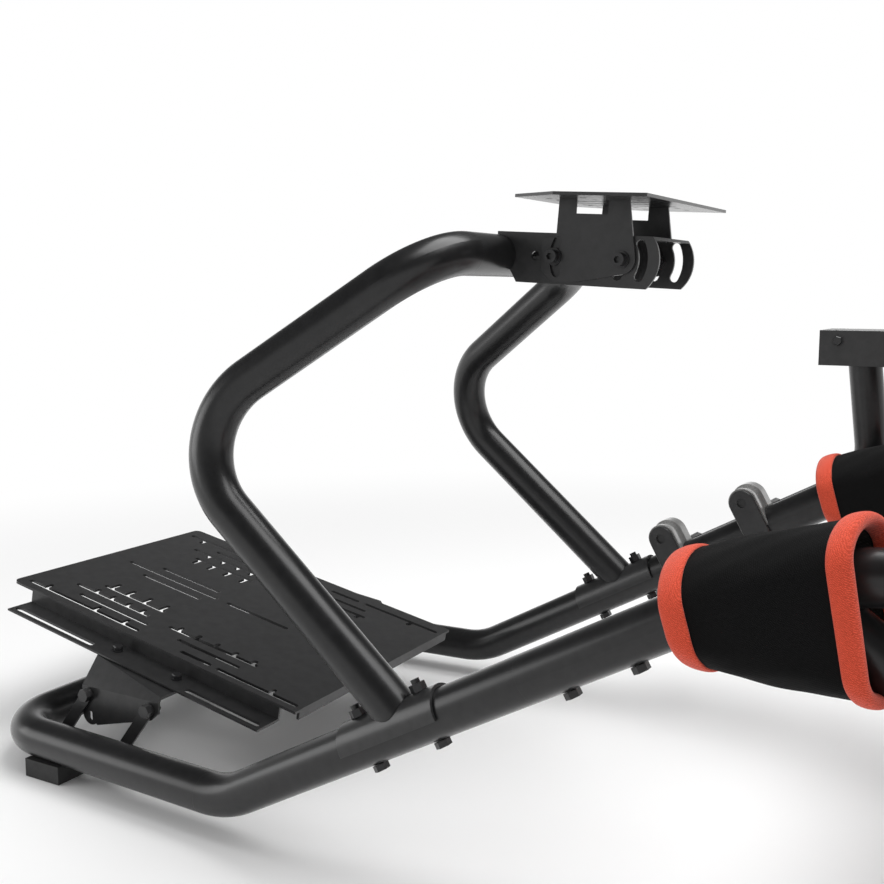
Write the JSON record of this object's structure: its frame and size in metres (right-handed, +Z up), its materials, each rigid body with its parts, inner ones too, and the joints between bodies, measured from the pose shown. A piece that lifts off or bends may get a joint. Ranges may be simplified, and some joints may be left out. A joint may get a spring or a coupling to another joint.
{
  "type": "sim racing cockpit",
  "caption": "Bent-tube racing cockpit with a tilting wheel deck, a slotted pedal deck, a side shifter bracket and a fabric sling seat.",
  "frame": {"origin": "middle of the bounding box, on the floor", "axes": "+X points from the pedals to the seat, +Y to the driver's right, +Z up"},
  "size_m": [1.4437, 0.687, 0.971],
  "materials": {
    "tube": "satin",
    "sheet": "satin",
    "hardware": "satin",
    "clamp": "gloss",
    "foot": "matte",
    "fabric": "matte"
  },
  "bodies": {
    "frame": {"front_bow": "tube", "rail_left": "tube", "rail_right": "tube", "front_foot_left": "foot", "front_foot_right": "foot", "saddle_left": "sheet", "saddle_right": "sheet", "rail_bolts_left": "hardware", "rail_bolts_right": "hardware", "upright_left": "tube", "upright_right": "tube", "wheel_cross_tube": "tube", "wheel_channel": "sheet", "channel_bolts": "hardware", "pedal_plate": "sheet", "pedal_strip_left": "sheet", "pedal_strip_right": "sheet", "pedal_bracket_left": "sheet", "pedal_bracket_right": "sheet", "pedal_struts_left": "hardware", "pedal_struts_right": "hardware", "rail_clamp_front": "clamp", "rail_clamp_rear": "clamp", "shifter_arm": "tube", "shifter_bracket": "sheet", "seat_rail_left": "tube", "seat_rail_right": "tube", "back_post_left": "tube", "back_post_right": "tube", "back_top_tube": "tube", "stand_leg_left": "tube", "stand_leg_right": "tube", "stand_floor_tube": "tube", "stand_feet": "foot", "seat_sling": "fabric", "back_sling": "fabric", "sleeve_left": "fabric", "sleeve_right": "fabric"},
    "wheel_deck": {"wheel_bracket": "sheet", "bracket_bolts": "hardware", "wheel_plate": "sheet"}
  },
  "joints": [
    {"name": "wheel_tilt", "type": "hinge", "parent": "frame", "child": "wheel_deck", "pos_m": [-0.01962, -0.0285, 0.56], "axis": [0, 1, 0], "range_deg": [-20, 20]}
  ]
}
